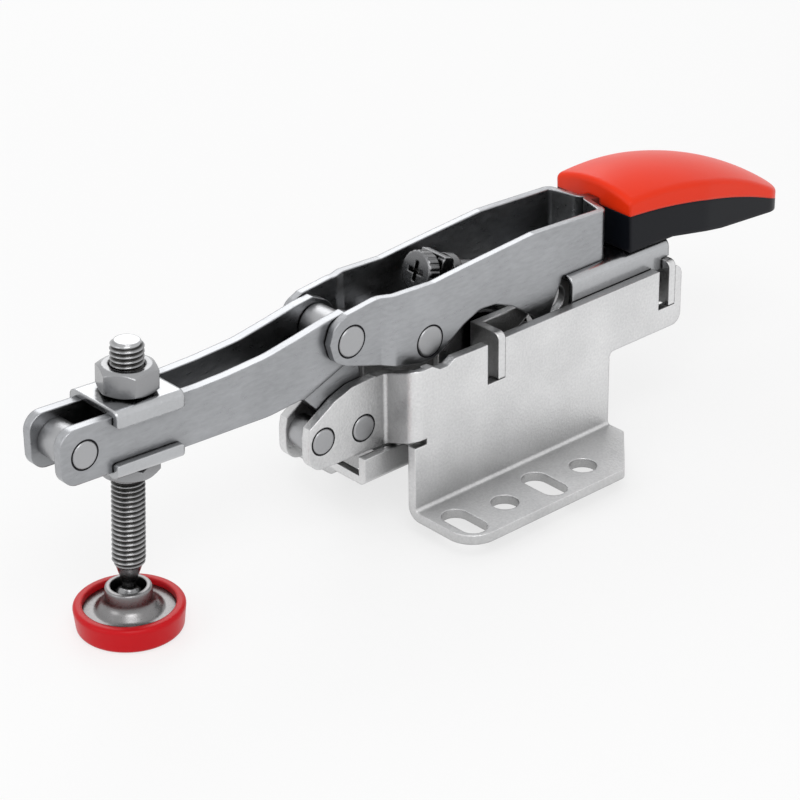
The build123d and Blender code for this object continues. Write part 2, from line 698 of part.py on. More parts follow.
# ---------------------------------------------------------------- link
def on_link(sketch, y_low, y_high):
    """Prism of a sketch drawn in the link's own axes: x from its front pivot towards its rear one."""
    tilt = math.degrees(math.atan2(toggle_dir[1], toggle_dir[0]))
    placed = Pos(LINK_PIVOT[0], LINK_PIVOT[1]) * Rot(0, 0, tilt) * sketch
    return side_prism(placed, y_low, y_high)


def toggle_link():
    """Folded link: two cheeks, and a front tab that carries the adjusting screw."""
    inner = LINK_HALF_WIDTH - LINK_SHEET
    lug_top = SCREW_OFFSET + SCREW_RADIUS + 1.8
    cheek = outline(
        (0, -LINK_END_RADIUS),
        (14.0, -LINK_END_RADIUS),
        (LINK_LENGTH, -LINK_REAR_RADIUS),
        (LINK_LENGTH, LINK_REAR_RADIUS),
        (14.0, LINK_END_RADIUS),
        (9.4, 8.5),
        (8.8, lug_top),
        (5.2, lug_top),
        (4.9, 8.5),
        (2.0, LINK_END_RADIUS),
        (0, LINK_END_RADIUS),
    )
    cheek = rounded(cheek, 1.6, (8.8, lug_top), (5.2, lug_top))
    cheek = cheek + Circle(LINK_END_RADIUS) + Pos(LINK_LENGTH, 0) * Circle(LINK_REAR_RADIUS)
    cheek -= Circle(LARGE_RIVET_RADIUS + RUNNING_GAP)
    cheek -= Pos(LINK_LENGTH, 0) * Circle(LINK_PIN_RADIUS)
    left = on_link(cheek, -LINK_HALF_WIDTH, -inner)
    right = on_link(cheek, inner, LINK_HALF_WIDTH)
    tab_low = LINK_END_RADIUS - 1.5
    tab = Pos(5.5 + FRAME_SHEET / 2, (tab_low + lug_top) / 2) * Rectangle(FRAME_SHEET, lug_top - tab_low)
    link = left + right + on_link(tab, -LINK_HALF_WIDTH + 0.01, LINK_HALF_WIDTH - 0.01)
    link -= screw_axis_cylinder(SCREW_RADIUS + RUNNING_GAP, 0, 12)
    return link


def screw_axis_plane(station):
    """Plane across the adjusting screw's axis, at a distance along the link."""
    normal = (-toggle_dir[1], toggle_dir[0])
    origin = (
        LINK_PIVOT[0] + station * toggle_dir[0] + SCREW_OFFSET * normal[0],
        0,
        LINK_PIVOT[1] + station * toggle_dir[1] + SCREW_OFFSET * normal[1],
    )
    return Plane(origin=origin, x_dir=(0, 1, 0), z_dir=(toggle_dir[0], 0, toggle_dir[1]))


def screw_axis_cylinder(radius, start, end):
    """Cylinder on the adjusting screw's axis."""
    return extrude(screw_axis_plane(start) * Circle(radius), amount=end - start)


def adjusting_screw():
    """Thumb screw with a knurled, cross-recessed head."""
    head = screw_axis_cylinder(SCREW_HEAD_RADIUS, 0.6, 4.4)
    head = chamfer(head.edges().filter_by(GeomType.CIRCLE), 0.5)
    notch_count = 20
    for index in range(notch_count):
        angle = 360 / notch_count * index
        notch = screw_axis_plane(0.6) * Rot(0, 0, angle) * Pos(SCREW_HEAD_RADIUS + 0.15, 0) * Circle(0.45)
        head -= extrude(notch, amount=4)
    recess = screw_axis_plane(0.6) * (Rectangle(5.0, 1.1) + Rectangle(1.1, 5.0))
    head -= extrude(recess, amount=1.8)
    shank = screw_axis_cylinder(SCREW_RADIUS, 4.4, 26)
    shank = chamfer(shank.edges().filter_by(GeomType.CIRCLE).sort_by(Axis.X)[-1], 0.6)
    return head + shank


# ---------------------------------------------------------------- assembly
left_base = base_plate()
save(left_base, "base_plate_left")
save(mirrored(left_base), "base_plate_right")
save(rivet(ARM_PIVOT, SMALL_RIVET_RADIUS, LOBE_HALF_WIDTH + RIVET_PROUD), "arm_pivot_rivet")
save(rivet(SPACER_POINT, SMALL_RIVET_RADIUS, LOBE_HALF_WIDTH + RIVET_PROUD), "front_spacer_rivet")
lobe_inner = LOBE_HALF_WIDTH - BASE_SHEET
save(ring(SPACER_POINT, SMALL_RIVET_RADIUS + 0.75, SMALL_RIVET_RADIUS, -lobe_inner, lobe_inner), "front_spacer_sleeve")
save(inner_frame(), "inner_frame")
save(stop_channel(), "stop_channel")

left_arm = arm_plate()
save(left_arm, "arm_plate_left")
save(mirrored(left_arm), "arm_plate_right")
arm_inner = ARM_HALF_WIDTH - ARM_SHEET
save(rivet(ARM_RIVET_POINT, LARGE_RIVET_RADIUS - 0.5, ARM_HALF_WIDTH + RIVET_PROUD), "arm_front_rivet")
save(ring(ARM_RIVET_POINT, ARM_SLEEVE_RADIUS, LARGE_RIVET_RADIUS - 0.5, -arm_inner, arm_inner), "arm_front_sleeve")

save(saddle_washer(True), "upper_saddle_washer")
save(saddle_washer(False), "lower_saddle_washer")
upper_nut = on_arm(Pos(0, 0, WASHER_SHEET) * Rot(0, 0, 8) * hex_nut(TOP_NUT_HEIGHT, SPINDLE_RADIUS + RUNNING_GAP))
lower_z = -ARM_DEPTH - WASHER_SHEET - LOWER_NUT_HEIGHT
lower_nut = on_arm(Pos(0, 0, lower_z) * Rot(0, 0, 20) * hex_nut(LOWER_NUT_HEIGHT, SPINDLE_RADIUS + RUNNING_GAP))
save(upper_nut, "upper_lock_nut")
save(lower_nut, "lower_lock_nut")
save(spindle(), "spindle")
save(foot_socket(), "foot_socket")
save(foot_cap(), "foot_cap")

left_handle = handle_plate()
save(left_handle, "handle_plate_left")
save(mirrored(left_handle), "handle_plate_right")
handle_end = HANDLE_LOBE_HALF_WIDTH + RIVET_PROUD
save(rivet(HANDLE_PIVOT, LARGE_RIVET_RADIUS, handle_end), "handle_arm_rivet")
save(
    ring(HANDLE_PIVOT, LARGE_RIVET_RADIUS + 1.2, LARGE_RIVET_RADIUS, -arm_inner + SIDE_GAP, arm_inner - SIDE_GAP),
    "handle_arm_sleeve",
)
save(rivet(LINK_PIVOT, LARGE_RIVET_RADIUS, HANDLE_HALF_WIDTH + RIVET_PROUD), "handle_link_rivet")
spacer_low = LINK_HALF_WIDTH + SIDE_GAP
spacer_high = HANDLE_HALF_WIDTH - HANDLE_SHEET
spacer = ring(LINK_PIVOT, LARGE_RIVET_RADIUS + 1.15, LARGE_RIVET_RADIUS, -spacer_high, -spacer_low)
save(Compound([spacer, mirrored(spacer)]), "link_rivet_spacers")

cover, body = grip_halves()
tang = left_handle + mirrored(left_handle)
save(cover - tang, "grip_cover")
save(body - tang, "grip_body")

save(toggle_link(), "toggle_link")
save(rivet(link_rear, LINK_PIN_RADIUS, FRAME_HALF_WIDTH - 0.3), "link_rear_pin")
save(adjusting_screw(), "adjusting_screw")
collar = screw_axis_cylinder(SCREW_HEAD_RADIUS - 0.6, 9.6, 12.4) - screw_axis_cylinder(SCREW_RADIUS, 9, 13)
save(collar, "adjusting_collar")
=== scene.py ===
# %% [markdown]
# The sheet metal, rivets, screws and grip of this clamp are already in the frame, as solids at their real
# size. Drawing them again in Blender would only bring errors, so this script loads them and adds what solids
# leave out: finishes, a thread, the nuts' chamfers, a floor, light and a camera.

# %% Load the frame
import json
import math

import bmesh
import bpy
import numpy as np
from mathutils import Matrix, Vector


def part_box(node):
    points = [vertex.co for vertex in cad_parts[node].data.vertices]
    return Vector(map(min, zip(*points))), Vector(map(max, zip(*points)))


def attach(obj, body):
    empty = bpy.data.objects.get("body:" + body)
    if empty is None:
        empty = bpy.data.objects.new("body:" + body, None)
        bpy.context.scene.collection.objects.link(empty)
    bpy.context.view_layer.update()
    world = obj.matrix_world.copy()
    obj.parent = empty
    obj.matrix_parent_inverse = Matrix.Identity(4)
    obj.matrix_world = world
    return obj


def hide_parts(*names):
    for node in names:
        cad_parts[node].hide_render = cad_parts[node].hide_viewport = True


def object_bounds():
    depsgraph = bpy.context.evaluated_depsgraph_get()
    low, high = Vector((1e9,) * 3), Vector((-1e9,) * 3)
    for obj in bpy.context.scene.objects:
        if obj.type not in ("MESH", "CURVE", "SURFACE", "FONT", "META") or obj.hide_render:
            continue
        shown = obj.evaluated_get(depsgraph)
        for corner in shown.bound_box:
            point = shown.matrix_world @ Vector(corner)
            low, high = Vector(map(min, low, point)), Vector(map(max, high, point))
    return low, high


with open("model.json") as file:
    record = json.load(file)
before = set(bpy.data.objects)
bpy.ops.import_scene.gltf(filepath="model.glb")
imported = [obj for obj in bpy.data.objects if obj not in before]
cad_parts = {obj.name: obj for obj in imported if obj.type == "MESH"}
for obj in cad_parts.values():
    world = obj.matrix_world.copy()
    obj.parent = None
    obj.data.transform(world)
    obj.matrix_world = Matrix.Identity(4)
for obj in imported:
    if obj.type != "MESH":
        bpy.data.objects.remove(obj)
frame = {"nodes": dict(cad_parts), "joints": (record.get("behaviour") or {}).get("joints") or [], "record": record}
cad_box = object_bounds()
nodes = frame["nodes"]
print("nodes", len(nodes), "box", [round(v, 4) for v in (*cad_box[0], *cad_box[1])])

# %% [markdown]
# A tool looks truest with little perspective. A short lens close by would swell the near side, so a long lens
# stands well back, which keeps the sheet metal's parallel edges nearly parallel. Its place comes from an
# azimuth, an elevation and a distance from one point in the middle of the clamp.

# %% Camera
VIEW_AZIMUTH = -0.727
VIEW_ELEVATION = 0.488
VIEW_ROLL = -0.011
VIEW_DISTANCE = 0.7286
VIEW_TARGET = Vector((-0.02266, 0.00092, 0.02331))
LENS_MM = 132.5
SENSOR_MM = 36
CLIP_NEAR, CLIP_FAR = 0.01, 20


def add_object(name, data):
    """A new object that holds the data, in the scene's own collection."""
    made = bpy.data.objects.new(name, data)
    bpy.context.scene.collection.objects.link(made)
    return made


sin_a, cos_a = math.sin(VIEW_AZIMUTH), math.cos(VIEW_AZIMUTH)
sin_e, cos_e = math.sin(VIEW_ELEVATION), math.cos(VIEW_ELEVATION)
back = Vector((sin_a * cos_e, -cos_a * cos_e, sin_e))
level_right = Vector((cos_a, sin_a, 0))
level_up = Vector((-sin_e * sin_a, sin_e * cos_a, cos_e))
cam_right = math.cos(VIEW_ROLL) * level_right + math.sin(VIEW_ROLL) * level_up
cam_up = -math.sin(VIEW_ROLL) * level_right + math.cos(VIEW_ROLL) * level_up
camera = add_object("camera", bpy.data.cameras.new("camera"))
camera.data.lens = LENS_MM
camera.data.sensor_width = SENSOR_MM
camera.data.clip_start, camera.data.clip_end = CLIP_NEAR, CLIP_FAR
turn = Matrix((cam_right, cam_up, back)).transposed().to_4x4()
camera.matrix_world = Matrix.Translation(VIEW_TARGET + back * VIEW_DISTANCE) @ turn
bpy.context.scene.camera = camera
print("camera at", [round(v, 4) for v in camera.location])

# %% [markdown]
# Every finish is a small net of shader nodes. They could be linked by hand in the shader editor, but maths
# reads best as an expression. This class wraps a socket so that + - and * add Math nodes, and its node method
# adds a node of any other kind, settings first and then sockets.


# %% A socket that does arithmetic
class Wire:
    """A shader socket. Arithmetic on it adds Math nodes to its material's tree."""

    def __init__(self, tree, socket):
        self.tree, self.socket = tree, socket

    @staticmethod
    def node(tree, kind, settings=(), **inputs):
        """A node of any kind. Each input is named by its identifier and holds a wire or a plain value."""
        made = tree.nodes.new(kind)
        for name, value in dict(settings).items():
            setattr(made, name, value)
        sockets = {socket.identifier: socket for socket in made.inputs}
        for name, value in inputs.items():
            feed(tree, sockets[name], value)
        return Wire(tree, made.outputs[0])

    def out(self, identifier):
        """Another output of the same node."""
        outputs = {socket.identifier: socket for socket in self.socket.node.outputs}
        return Wire(self.tree, outputs[identifier])

    def maths(self, operation, *values):
        """A Math node of this operation on up to three values."""
        places = dict(zip(("Value", "Value_001", "Value_002"), values))
        return Wire.node(self.tree, "ShaderNodeMath", {"operation": operation}, **places)

    def __add__(self, other):
        return self.maths("ADD", self, other)

    def __sub__(self, other):
        return self.maths("SUBTRACT", self, other)

    def __rsub__(self, other):
        return self.maths("SUBTRACT", other, self)

    def __mul__(self, other):
        return self.maths("MULTIPLY", self, other)

    __radd__ = __add__
    __rmul__ = __mul__

    def root(self):
        return self.maths("SQRT", self)

    def near(self, value, within):
        """1 where this is no further than within from the value, 0 elsewhere."""
        return self.maths("COMPARE", self, value, within)

    def most(self, other):
        return self.maths("MAXIMUM", self, other)


def feed(tree, socket, value):
    """Links a wire to a socket, or sets the socket to a plain value."""
    if isinstance(value, Wire):
        tree.links.new(value.socket, socket)
    else:
        socket.default_value = value


def mix_colours(tree, first, second, factor):
    """The first colour where the factor is 0 and the second where it is 1."""
    mixed = {"A_Color": first, "B_Color": second, "Factor_Float": factor}
    return Wire.node(tree, "ShaderNodeMix", {"data_type": "RGBA"}, **mixed).out("Result_Color")


print("a wire knows + - * root near most")

# %% [markdown]
# The plates turn on rivets whose heads lie flush with the sheet, so all that shows of a rivet is a thin dark
# ring. A groove in the mesh would be too fine to be worth its faces, so the plates' finish darkens a band
# there. A rivet's axis is level across the clamp, and its x, z and radius come from its own node's box.

# %% Rivet places
BASE_RIVETS = ("arm_pivot_rivet", "front_spacer_rivet")
UPPER_RIVETS = ("arm_front_rivet", "handle_arm_rivet", "handle_link_rivet")
RIVETS = {}
for rivet in BASE_RIVETS + UPPER_RIVETS:
    low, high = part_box(rivet)
    RIVETS[rivet] = ((low[0] + high[0]) / 2, (low[2] + high[2]) / 2, (high[0] - low[0]) / 2)
    print(rivet, [round(v, 4) for v in RIVETS[rivet]])

# %% [markdown]
# Pressed, turned and moulded edges are never quite sharp. Bevelling them all in the mesh would need many
# faces, so every finish ends the same way: a Bevel node turns the normals near an edge, which is enough at
# this size, and a Bump node lays the fine grain over that.

# %% What all finishes share
EDGE_SAMPLES = 10


def new_finish(name):
    """A new material, its tree and its surface shader."""
    finish = bpy.data.materials.new(name)
    finish.use_nodes = True
    shader = next(n for n in finish.node_tree.nodes if n.type == "BSDF_PRINCIPLED")
    return finish, finish.node_tree, shader


def shade(colour, share):
    """The colour times a share, no brighter than 1, with full alpha."""
    return (*[min(1, part * share) for part in colour], 1)


def soft_grain(tree, shader, grain, depth, strength, edge_radius):
    """Bump by the grain, over normals that are rolled round sharp edges by a radius."""
    edge = Wire.node(tree, "ShaderNodeBevel", {"samples": EDGE_SAMPLES}, Radius=edge_radius)
    bump = Wire.node(tree, "ShaderNodeBump", Height=grain, Distance=depth, Strength=strength, Normal=edge)
    feed(tree, shader.inputs["Normal"], bump)


print("samples for an edge", EDGE_SAMPLES)

# %% [markdown]
# Plated sheet isn't one grey: a fine grain varies how it shines and a broad cloudiness shifts its tone. On
# top of that, places closed in by other parts are painted darker, as painted shade. Image textures would need
# unwrapped pieces. Two noises on object coordinates and an Ambient Occlusion node do the same on any shape,
# and the noises stay put when a piece moves.

# %% How a metal is made
RING_WIDTH = 0.0009
RING_DARK = (0.02, 0.02, 0.022, 1)
# Painted shade: the dark that closed-in metal is painted towards, and how far and with how many rays the occlusion
# looks.
PAINTED_SHADE_DARK = (0.035, 0.034, 0.033, 1)
PAINTED_SHADE_REACH = 0.018
PAINTED_SHADE_SAMPLES = 8
CLOUD_PER_M = 60.0
METAL_SWING = 0.2
METAL_BUMP = 0.6


def ring_mask(tree, where, rivets):
    """1 on a narrow band round each rivet head, 0 elsewhere.

    The distance from the rivet's axis is the root of dx squared plus dz squared. The band is where that
    distance is within half the ring's width of the head's radius.
    """
    split = Wire.node(tree, "ShaderNodeSeparateXYZ", Vector=where)
    mask = None
    for rivet in rivets:
        centre_x, centre_z, radius = RIVETS[rivet]
        dx, dz = split.out("X") - centre_x, split.out("Z") - centre_z
        band = (dx * dx + dz * dz).root().near(radius, RING_WIDTH / 2)
        mask = band if mask is None else mask + band
    return mask


def metal(
    name,
    colour,
    roughness,
    grain_per_m,
    grain_depth,
    cloud=0.10,
    stretch=(1, 1, 1),
    rivets=(),
    painted_shade_share=0.8,
    edge_radius=0.0006,
    painted_groove_shade=0.0,
):
    """Metal whose roughness and tone vary with two noises, and whose grain is a shallow bump.

    Its tone swings by the cloud share both ways, with the mean of the two noises. Closed-in metal gets
    painted shade: the tone goes to a dark by a share times one less how open the place is. A thread's finish
    also paints shade into its roots, by its mesh's own groove attribute, which is 0 on a crest and 1 in a root.
    """
    finish, tree, shader = new_finish(name)
    where = Wire.node(tree, "ShaderNodeTexCoord").out("Object")
    placed = Wire.node(tree, "ShaderNodeMapping", Vector=where, Scale=stretch)
    grain = Wire.node(tree, "ShaderNodeTexNoise", Vector=placed, Scale=grain_per_m, Detail=4.0)
    clouds = Wire.node(tree, "ShaderNodeTexNoise", Vector=where, Scale=CLOUD_PER_M, Detail=3.0)
    shown = mix_colours(tree, shade(colour, 1 - cloud), shade(colour, 1 + cloud), (clouds + grain) * 0.5)
    # Painted shade: metal closed in by other parts is painted darker by how little open air the occlusion finds.
    openness = Wire.node(
        tree, "ShaderNodeAmbientOcclusion", {"samples": PAINTED_SHADE_SAMPLES}, Distance=PAINTED_SHADE_REACH
    )
    painted_shade = (1 - openness.out("AO")) * painted_shade_share
    # Painted shade in the thread's roots, by how deep in the groove a corner lies.
    if painted_groove_shade:
        groove = Wire.node(tree, "ShaderNodeAttribute", {"attribute_name": "groove"}).out("Fac")
        painted_shade = painted_shade + groove * painted_groove_shade
    shown = mix_colours(tree, shown, PAINTED_SHADE_DARK, painted_shade)
    if rivets:
        shown = mix_colours(tree, shown, RING_DARK, ring_mask(tree, where, rivets))
    feed(tree, shader.inputs["Base Color"], shown)
    shader.inputs["Metallic"].default_value = 1.0
    feed(tree, shader.inputs["Roughness"], grain * METAL_SWING + (roughness - METAL_SWING / 2))
    soft_grain(tree, shader, grain, grain_depth, METAL_BUMP, edge_radius)
    print("metal", name, "nodes", len(tree.nodes))
    return finish


# %% [markdown]
# The clamp's metals differ in numbers alone: how pale, how rough and how deep their grain is. The base is the
# palest and cloudiest. The arm and the handle are darker, with a grain drawn out along their length. Screws,
# nuts and foot are smoother. One function with named values keeps those differences easy to see and change.

# %% The metals
zinc_sheet = metal(
    "zinc_sheet",
    colour=(0.90, 0.906, 0.922),
    roughness=0.38,
    grain_per_m=1500,
    grain_depth=0.00018,
    cloud=0.48,
    rivets=BASE_RIVETS,
)
zinc_smooth = metal(
    "zinc_smooth",
    colour=(0.385, 0.393, 0.408),
    roughness=0.31,
    grain_per_m=1200,
    grain_depth=0.00009,
    cloud=0.38,
    stretch=(0.3, 1, 1),
    rivets=UPPER_RIVETS,
)
zinc_folded = metal(
    "zinc_folded",
    colour=(0.50, 0.508, 0.522),
    roughness=0.22,
    grain_per_m=1000,
    grain_depth=0.00003,
    cloud=0.18,
    edge_radius=0.0010,
)
rivet_steel = metal("rivet_steel", (0.44, 0.444, 0.455), 0.36, grain_per_m=1500, grain_depth=0.00003)
# The foot's cup and the screws below take the full share of painted shade in closed-in places.
foot_steel = metal(
    "foot_steel", (0.27, 0.265, 0.268), 0.30, grain_per_m=1500, grain_depth=0.00002, painted_shade_share=1.0
)
SCREW_GRAIN = {"grain_per_m": 1500, "grain_depth": 0.00001, "painted_shade_share": 1.0}
bright_steel = metal("bright_steel", (0.34, 0.343, 0.352), 0.22, **SCREW_GRAIN)
# The thread's roots are painted darker, as painted shade.
thread_steel = metal("thread_steel", (0.44, 0.443, 0.452), 0.24, painted_groove_shade=1.0, **SCREW_GRAIN)
# The adjusting screw and its collar are bright steel painted darker, as painted shade where they sit in shadow.
shaded_screw_steel = metal("shaded_screw_steel", (0.20, 0.202, 0.208), 0.28, **SCREW_GRAIN)

# %% [markdown]
# The grip and the foot's cap are moulded plastic, of one even colour with a satin shine. Plain numbers would
# look like wet paint, so the tone drifts a little and a very fine grain breaks up the shine. The mirror share
# is low, because a pale studio would otherwise wash the colours out.

# %% Moulded finishes
DRIFT_PER_M = 45.0
DRIFT_DARK, DRIFT_LIGHT = 0.93, 1.05
SATIN_PER_M = 2600.0
SATIN_DEPTH = 0.00003
SATIN_BUMP = 0.3
SATIN_SWING = 0.08
MOULDED_EDGE = 0.0011


def moulded(name, colour, roughness, mirror):
    """Moulded plastic: an even colour with a slight tone drift and a fine satin grain.

    The tone goes from its dark to its light share with one noise, and the roughness rises by the swing times
    the other.
    """
    finish, tree, shader = new_finish(name)
    where = Wire.node(tree, "ShaderNodeTexCoord").out("Object")
    drift = Wire.node(tree, "ShaderNodeTexNoise", Vector=where, Scale=DRIFT_PER_M, Detail=2.0)
    satin = Wire.node(tree, "ShaderNodeTexNoise", Vector=where, Scale=SATIN_PER_M, Detail=2.0)
    shown = mix_colours(tree, shade(colour, DRIFT_DARK), shade(colour, DRIFT_LIGHT), drift)
    feed(tree, shader.inputs["Base Color"], shown)
    shader.inputs["Specular IOR Level"].default_value = mirror
    feed(tree, shader.inputs["Roughness"], satin * SATIN_SWING + roughness)
    soft_grain(tree, shader, satin, SATIN_DEPTH, SATIN_BUMP, MOULDED_EDGE)
    print("moulded", name, "nodes", len(tree.nodes))
    return finish


grip_red = moulded("grip_red", (0.88, 0.036, 0.006), roughness=0.30, mirror=0.20)
grip_black = moulded("grip_black", (0.005, 0.006, 0.009), roughness=0.34, mirror=0.16)
foot_red = moulded("foot_red", (0.58, 0.003, 0.008), roughness=0.28, mirror=0.20)

# %% [markdown]
# The clamp's record names a finish for each piece, so a loop can dress them all and no piece is forgotten. A
# few are told apart from others of the same stock: the channel has rolled folds, the adjusting screw and its
# collar are bright steel painted darker as painted shade, and the foot's cup is darker than the other bright
# steel.

# %% Dress the pieces
FINISHES = {
    "zinc_sheet": zinc_sheet,
    "zinc_smooth": zinc_smooth,
    "rivet_steel": rivet_steel,
    "bright_steel": bright_steel,
    "grip_red": grip_red,
    "grip_black": grip_black,
    "foot_red": foot_red,
}
OWN_FINISH = {
    "stop_channel": zinc_folded,
    "adjusting_screw": shaded_screw_steel,
    "adjusting_collar": shaded_screw_steel,
    "foot_socket": foot_steel,
}
for part in frame["record"]["subparts"]:
    for place in nodes[part["node"]].material_slots:
        place.material = OWN_FINISH.get(part["node"], FINISHES[part["material_slot"]])

# %% [markdown]
# The spindle, its nuts and its saddle washers share one axis, which leans a little. They could be modelled
# upright and turned, but their objects have to stay unturned. So their shapes are worked out as heights up
# the leaning axis, radii from it and angles round it, counted from the centre of the ball in the foot.

# %% The spindle's axis
joints = {joint["name"]: joint for joint in frame["joints"]}
lean = np.array(joints["spindle_height"]["axis"], float)
lean /= np.linalg.norm(lean)
side = np.array((lean[2], 0, -lean[0]))
across = np.array((0.0, 1.0, 0.0))
ball_centre = np.array(joints["foot_swivel"]["pos_m"], float)
print("lean in degrees", round(math.degrees(math.atan2(lean[0], lean[2])), 2))


def corners_of(mesh):
    """Corners of a mesh, one row each."""
    flat = np.zeros(len(mesh.vertices) * 3)
    mesh.vertices.foreach_get("co", flat)
    return flat.reshape(-1, 3)


def about_axis(height, radius, angle):
    """Corners for whole arrays of heights, radii and angles.

    A corner is the ball's centre, plus height times the lean, plus radius times cosine of the angle to the
    side, plus radius times sine of the angle across.
    """
    grid = (
        ball_centre
        + height[..., None] * lean
        + (radius * np.cos(angle))[..., None] * side
        + (radius * np.sin(angle))[..., None] * across
    )
    return grid.reshape(-1, 3)


def ring_quads(bands, rings, around):
    """Quads for so many bands between neighbouring rings. The ring after the last one is the first."""
    i, j = np.meshgrid(np.arange(bands), np.arange(around), indexing="ij")
    up, nxt = (i + 1) % rings, (j + 1) % around
    quads = [i * around + j, i * around + nxt, up * around + nxt, up * around + j]
    return np.stack(quads, -1).reshape(-1, 4).tolist()


# %% [markdown]
# The spindle is a screwed rod that narrows to a neck and ends in a ball, on which the foot swivels. Its bare
# form is one line of radius against height. That line could be spun into a solid, but the thread needs it as
# a function of height, so it is one.

# %% The spindle without its thread
ROD_RADIUS = 0.0040
BALL_RADIUS = 0.0044
NECK_RADIUS = 0.0017
CONE_RADIUS = 0.0032
TIP_RADIUS = 0.0030
TIP_CHAMFER = 0.001
NECK_END, CONE_END, RUN_IN = 0.0060, 0.0102, 0.0114
INSIDE_BY = 0.00001

spindle_top = ((corners_of(nodes["spindle"].data) - ball_centre) @ lean).max() - INSIDE_BY
print("spindle from ball centre to top, mm", round(spindle_top * 1000, 2))


def spindle_profile(height):
    """Radius of the plain spindle at a height above the ball's centre.

    It is a sphere, then a neck, then a cone, then a short run-in, then the rod, and a chamfer at the top.
    """
    ball = np.sqrt(np.clip(BALL_RADIUS**2 - height**2, 0, None))
    marks = [0, NECK_END, CONE_END, RUN_IN, spindle_top - TIP_CHAMFER, spindle_top]
    radii = [NECK_RADIUS, NECK_RADIUS, CONE_RADIUS, ROD_RADIUS, ROD_RADIUS, TIP_RADIUS]
    rest = np.interp(height, marks, radii)
    return np.where(height < 0, ball, np.maximum(np.where(height < BALL_RADIUS, ball, 0), rest))


# %% [markdown]
# A thread is a helical groove: going once round it moves one pitch along the axis. A Screw modifier could
# wind it, but would leave both ends of the groove open. Here the groove's depth depends on the height less
# the turn, so it can fade in and out and the surface stays closed. It never passes the plain rod's radius,
# which keeps the whole thread inside the solid.

# %% Spindle with its thread
PITCH = 0.00125
THREAD_DEPTH = 0.00060
THREAD_FLAT = 0.1
FADE_OUT = 0.0008
FIRST_RING_ANGLE = 0.08
BALL_ROWS, NECK_ROWS = 16, 40
AROUND, ROWS_PER_PITCH = 72, 14


def threaded_spindle(name):
    """Grid of height by angle. The thread's phase is height over pitch less angle over a full turn.

    The groove is a triangle wave of that phase. The flat share is cut off it at crest and at root, and the
    rest is stretched to fill 0 to 1. It fades in over one pitch above the cone and out below the top. The
    radius is the plain profile less the groove, and each corner keeps how deep in the groove it is.
    """
    ball_rows = -BALL_RADIUS * np.cos(np.linspace(FIRST_RING_ANGLE, math.pi / 2, BALL_ROWS))
    neck_rows = np.linspace(0, CONE_END, NECK_ROWS)[1:]
    rod_rows = int((spindle_top - CONE_END) / PITCH * ROWS_PER_PITCH)
    rows = np.concatenate([ball_rows, neck_rows, np.linspace(CONE_END, spindle_top, rod_rows)[1:]])
    turns = np.linspace(0, 2 * math.pi, AROUND, endpoint=False)
    height, angle = np.meshgrid(rows, turns, indexing="ij")
    phase = (height / PITCH - angle / (2 * math.pi)) % 1.0
    triangle = 1 - np.abs(2 * phase - 1)
    wave = np.clip((triangle - THREAD_FLAT) / (1 - 2 * THREAD_FLAT), 0, 1)
    fade_in = np.clip((height - CONE_END) / PITCH, 0, 1)
    groove = wave * fade_in * np.clip((spindle_top - height) / FADE_OUT, 0, 1)
    corners = about_axis(height, spindle_profile(height) - THREAD_DEPTH * groove, angle)
    bottom, top = len(corners), len(corners) + 1
    poles = [ball_centre - BALL_RADIUS * lean, ball_centre + spindle_top * lean]
    ring = np.arange(AROUND)
    after = (ring + 1) % AROUND
    last = (len(rows) - 1) * AROUND
    low_cap = np.stack([ring, np.full(AROUND, bottom), after], -1).tolist()
    high_cap = np.stack([last + ring, last + after, np.full(AROUND, top)], -1).tolist()
    walls = ring_quads(len(rows) - 1, len(rows), AROUND)
    made = bpy.data.meshes.new(name)
    made.from_pydata(np.concatenate([corners, poles]).tolist(), [], walls + low_cap + high_cap)
    made.update()
    # The groove depth is kept for the thread's finish, which paints shade into the roots with it.
    depth = made.attributes.new("groove", "FLOAT", "POINT")
    depth.data.foreach_set("value", np.concatenate([groove.ravel(), [0, 0]]))
    return made


def say_closed(mesh):
    """Prints the mesh's faces, open edges and volume."""
    solid = bmesh.new()
    solid.from_mesh(mesh)
    open_edges = sum(1 for e in solid.edges if not e.is_manifold)
    volume = round(solid.calc_volume(signed=True) * 1e9)
    print(mesh.name, "faces", len(mesh.polygons), "open edges", open_edges, "volume mm3", volume)
    solid.free()


spindle_thread = add_object("spindle_thread", threaded_spindle("spindle_thread"))
spindle_thread.data.materials.append(thread_steel)
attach(spindle_thread, "spindle")
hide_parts("spindle")
say_closed(spindle_thread.data)

# %% [markdown]
# Two hexagon nuts lock the spindle. A real nut's corners are cut back by a cone, which meets each flat in an
# arc and makes the nut look round from above. A Bevel modifier would cut straight edges instead. So each
# ring of the mesh is one full turn at its own radii, and the last ring joins the first through the bore.

# %% Lock nuts
FLAT_ANGLE = math.radians(60)
CHAMFER_SLOPE = math.tan(math.radians(30))
FACE_SHARE = 0.88
BORE_CHAMFER = 0.0004
NUT_TURN = 144
NUTS = (
    ("upper_nut_chamfered", "upper_lock_nut", "upper_nut"),
    ("lower_nut_chamfered", "lower_lock_nut", "lower_nut"),
)


